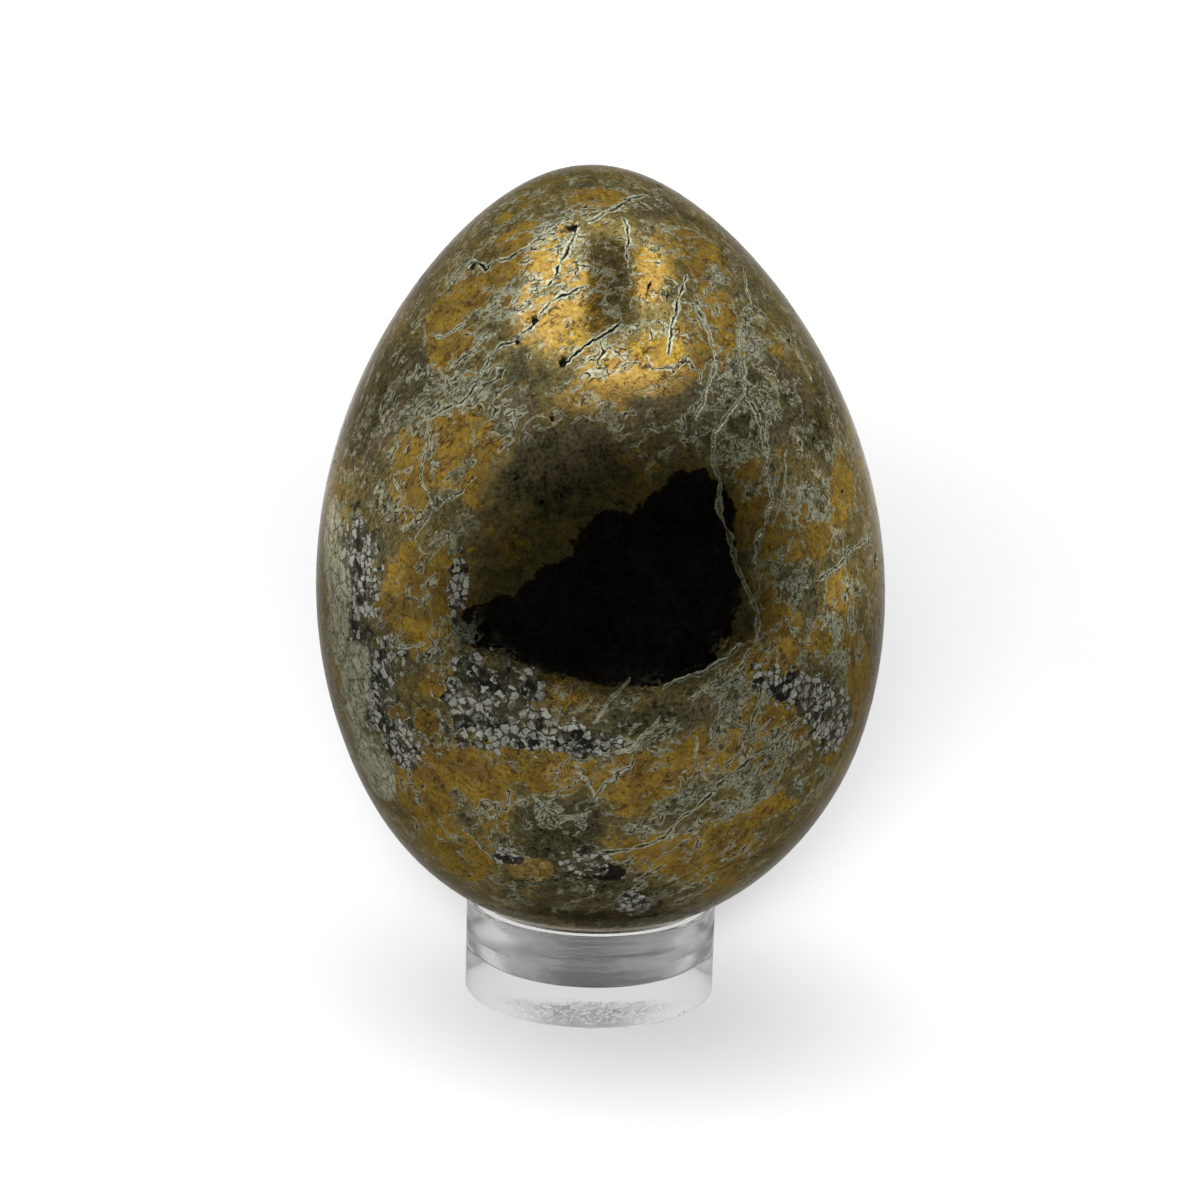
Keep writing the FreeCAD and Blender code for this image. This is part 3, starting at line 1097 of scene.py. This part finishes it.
def floor_material(studio):
    """White table that keeps the object's shadow, has a painted shade round the stand's foot, and
    is plain white far from it.
    """
    material = bpy.data.materials.new("white_table")
    t = Tree(material)
    place = t.object_place()
    # Plain white sets in sooner to the sides than behind, and soonest in front
    sideways_haste = (2, 1, 1)
    wide = t.node("ShaderNodeVectorMath", {"operation": "MULTIPLY"}, {0: place, 1: sideways_haste})
    ahead = 0 - t.axes(place)[1]
    far = t.distance(wide).step(0.0, 0.82).larger(ahead.step(0.058, 0.110))
    camera = t.ray_is("Camera")
    indirect = t.ray_is("Glossy").larger(t.ray_is("Transmission"))
    # Painted shade: the table is darker in a soft spot round the stand's foot, a little in front of
    # it
    painted_shade_place = t.shift(place, (-0.006, 0.012, 0))
    beside = t.distance(painted_shade_place).step(0.0, 0.042)
    pale = t.blend(beside, rgba(TABLE_UNDER_PAINTED_SHADE), rgba(TABLE_BESIDE))
    pale = t.blend(indirect, pale, rgba(TABLE_MIRRORED))
    near = t.node("ShaderNodeBsdfDiffuse", {}, {"Color": pale})
    own_glow = (camera * (studio.table_white + (1 - studio.table_white) * far)
                + indirect * t.distance(place).step(0.08, 0.45) * 0.75)
    t.surface(t.node("ShaderNodeAddShader", {}, {0: near, 1: t.glow((1, 1, 1), own_glow)}))
    return material


def build_table(studio):
    reach, depth = 4.0, 6.0
    under = -0.02 * MM
    front = -studio.table_edge
    corners = [(-reach, front, under), (reach, front, under), (reach, depth, under),
               (-reach, depth, under)]
    table = add_object("white_table", flat_sheet("white_table", corners), floor_material(studio))
    table_only = bpy.data.collections.new("table_only")
    table_only.objects.link(table)
    place, target, width = (-0.018, -0.42, 0.165), (0, 1.1, 0), 0.13
    low = add_lamp("table_lamp", place, target, width, studio.table_glow)
    low.data.spread = math.radians(50)
    low.light_linking.receiver_collection = table_only


def mirror_only(card):
    """Seen in the polished stone, and by nothing else."""
    card.visible_camera = False
    card.visible_diffuse = False
    card.visible_transmission = False
    card.visible_shadow = False


def soft_card(name, height, inner, outer, glow_colour):
    """Flat card that only mirrors show: full over the inner outline, fading out to the outer."""
    bm = bmesh.new()
    cover = bm.verts.layers.float.new("cover")
    rings = []
    for corners, share_there in ((inner, 1.0), (outer, 0.0)):
        ring = [bm.verts.new((x, y, height)) for x, y in corners]
        for vert in ring:
            vert[cover] = share_there
        rings.append(ring)
    middle = bm.verts.new(sum((v.co for v in rings[0]), Vector()) / len(rings[0]))
    middle[cover] = 1.0
    for i in range(len(inner)):
        following = (i + 1) % len(inner)
        bm.faces.new((middle, rings[0][i], rings[0][following]))
        bm.faces.new((rings[0][i], rings[1][i], rings[1][following], rings[0][following]))
    mesh = bpy.data.meshes.new(name)
    bm.to_mesh(mesh)
    bm.free()
    material = bpy.data.materials.new(name)
    t = Tree(material)
    clear = t.node("ShaderNodeBsdfTransparent")
    full = t.attribute("cover").step(0, 1)
    t.surface(t.node("ShaderNodeMixShader", {}, {0: full, 1: clear, 2: t.glow(glow_colour)}))
    mirror_only(add_object(name, mesh, material))


# Outlines of the panel overhead and of the darker middle in it, in metres, seen from above
PANEL_FULL = ((0.02, 0.05), (-0.12, 0.05), (-0.25, 0.03), (-0.32, -0.10), (-0.33, -0.24),
              (-0.24, -0.36), (0.01, -0.45), (0.24, -0.40), (0.37, -0.26), (0.35, -0.15),
              (0.29, -0.06), (0.24, 0.04), (0.15, 0.08))
MIDDLE_FULL = ((-0.035, -0.02), (0.125, 0.0), (0.145, -0.27), (-0.04, -0.30))
MIDDLE_EDGE = ((-0.055, 0.005), (0.150, 0.025), (0.170, -0.30), (-0.062, -0.33))
MIDDLE_GLOW = (0.30, 0.30, 0.28)
FRONT_CARD_GLOW = (0.090, 0.092, 0.072)


def grown(outline, middle, factor):
    return [(middle[0] + (x - middle[0]) * factor, middle[1] + (y - middle[1]) * factor)
            for x, y in outline]


def build_front_card(studio):
    """Round card about the stand, dark in front and fading out to its sides and top."""
    low, high = -0.09, 0.36
    radius, segments = studio.front_card, 72
    bm = bmesh.new()
    bmesh.ops.create_cone(bm, cap_ends=False, segments=segments, radius1=radius, radius2=radius,
                          depth=high - low, matrix=Matrix.Translation((0, 0, (high + low) / 2)))
    mesh = bpy.data.meshes.new("front_card")
    bm.to_mesh(mesh)
    bm.free()
    material = bpy.data.materials.new("dark_card")
    t = Tree(material)
    across, deep, up = t.axes(t.object_place())
    bearing = t.node("ShaderNodeMath", {"operation": "ARCTAN2"}, {0: across, 1: 0 - deep})
    # The dark part: where its middle is, how that swings with height, and its half-widths
    middle, swing, half_width, half_height = math.radians(4), 1.7, math.radians(78), 0.285
    sideways = (bearing - middle - up.larger(0) * swing) / half_width
    upwards = up.larger(0) / half_height
    spread = t.node("ShaderNodeMath", {"operation": "SQRT"},
                    {0: sideways * sideways + upwards * upwards})
    dark = 1 - spread.step(0.64, 1.30)
    clear = t.node("ShaderNodeBsdfTransparent")
    t.surface(t.node("ShaderNodeMixShader", {}, {0: dark, 1: clear, 2: t.glow(FRONT_CARD_GLOW)}))
    mirror_only(add_object("front_card", mesh, material))


def build_cards(studio):
    """What the polished stone mirrors: a dark card in front, and a lit panel overhead."""
    build_front_card(studio)
    high = studio.lamp_height
    panel_edge = grown(PANEL_FULL, (0.04, -0.20), 1.28)
    soft_card("lit_panel", high, PANEL_FULL, panel_edge, (studio.panel_glow,) * 3)
    soft_card("panel_middle", high * 0.97, MIDDLE_FULL, MIDDLE_EDGE, MIDDLE_GLOW)


def add_lamp(name, place, target, width, glow):
    """A square lamp that shines from its place to its target, and that nothing mirrors."""
    lamp = bpy.data.lights.new(name, "AREA")
    lamp.shape = "RECTANGLE"
    lamp.size, lamp.size_y = width, width
    lamp.energy = glow * math.pi * width * width
    made = bpy.data.objects.new(name, lamp)
    place = Vector(place)
    aim = (Vector(target) - place).to_track_quat("-Z", "Y")
    made.matrix_world = Matrix.Translation(place) @ aim.to_matrix().to_4x4()
    bpy.context.scene.collection.objects.link(made)
    made.visible_glossy = False
    made.visible_transmission = False
    return made


def build_lamps(studio):
    overhead = (0.10, -0.15, studio.lamp_height)
    add_lamp("overhead_lamp", overhead, (0, 0, 0), 0.60, studio.lamp_glow)
    beside_camera = (-0.10, -0.52, 0.20)
    add_lamp("front_fill", beside_camera, (0, 0, 0.03), 0.30, studio.fill_glow)


def build_room(studio):
    world = bpy.data.worlds.new("plain_room")
    bpy.context.scene.world = world
    t = Tree(world)
    camera, glossy, through = (t.ray_is(kind) for kind in ("Camera", "Glossy", "Transmission"))
    mirrored = (glossy * (1 - through) * (studio.room_glow - studio.room_light)
                + through * (studio.through_glow - studio.room_light))
    glow = studio.room_light + mirrored.larger(camera * (1 - studio.room_light))
    background = t.node("ShaderNodeBackground", {}, {"Color": (1, 1, 1, 1), "Strength": glow})
    out = t.nodes.new("ShaderNodeOutputWorld")
    t.links.new(background.socket, out.inputs["Surface"])


def build_camera(studio):
    camera = bpy.data.cameras.new("photo_camera")
    camera.sensor_width = SENSOR_WIDTH
    camera.lens = studio.focal_pixels / PHOTO_SIZE * SENSOR_WIDTH
    camera.clip_start, camera.clip_end = 0.01, 20
    made = bpy.data.objects.new("photo_camera", camera)
    made.matrix_world = PhotoView(studio).matrix()
    bpy.context.scene.collection.objects.link(made)
    bpy.context.scene.camera = made


class STONEEGG_OT_egg(bpy.types.Operator):
    """Build the polished egg with its pits and seams, in place of the plain one"""

    bl_idname = "stoneegg.egg"
    bl_label = "Polished egg"

    def execute(self, context):
        scene = context.scene
        mesh = build_egg(scene.stone_egg, scene.clear_stand, scene.egg_studio)
        piece = add_object("polished_egg", mesh, stone_material(scene.stone_egg))
        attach(piece, "egg")
        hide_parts("stone_egg")
        return {"FINISHED"}


class STONEEGG_OT_stand(bpy.types.Operator):
    """Build the clear moulded stand, in place of the plain one"""

    bl_idname = "stoneegg.stand"
    bl_label = "Clear stand"

    def execute(self, context):
        stand = context.scene.clear_stand
        piece = add_object("clear_puck", build_stand(stand), acrylic_material(stand))
        piece.visible_shadow = False
        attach(piece, "stand")
        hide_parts("clear_stand")
        return {"FINISHED"}


class STONEEGG_OT_studio(bpy.types.Operator):
    """Set the white table, the cards, the lamps, the room and the camera"""

    bl_idname = "stoneegg.studio"
    bl_label = "Studio"

    def execute(self, context):
        studio = context.scene.egg_studio
        build_camera(studio)
        build_table(studio)
        build_cards(studio)
        build_lamps(studio)
        build_room(studio)
        context.scene.view_settings.view_transform = "Standard"
        return {"FINISHED"}


class STONEEGG_PT_panel(bpy.types.Panel):
    bl_label = "Stone Egg"
    bl_idname = "STONEEGG_PT_panel"
    bl_space_type = "VIEW_3D"
    bl_region_type = "UI"
    bl_category = "Stone Egg"

    def draw(self, context):
        for operator in OPERATORS:
            self.layout.operator(operator.bl_idname)


OPERATORS = (STONEEGG_OT_studio, STONEEGG_OT_stand, STONEEGG_OT_egg)
CLASSES = (StoneEggSettings, ClearStandSettings, StudioSettings, *OPERATORS, STONEEGG_PT_panel)


def register():
    for kind in CLASSES:
        bpy.utils.register_class(kind)
    bpy.types.Scene.stone_egg = PointerProperty(type=StoneEggSettings)
    bpy.types.Scene.clear_stand = PointerProperty(type=ClearStandSettings)
    bpy.types.Scene.egg_studio = PointerProperty(type=StudioSettings)


def unregister():
    del bpy.types.Scene.egg_studio
    del bpy.types.Scene.clear_stand
    del bpy.types.Scene.stone_egg
    for kind in reversed(CLASSES):
        bpy.utils.unregister_class(kind)


def main():
    register()
    bpy.ops.stoneegg.studio()
    bpy.ops.stoneegg.stand()
    bpy.ops.stoneegg.egg()


if __name__ == "__main__":
    main()
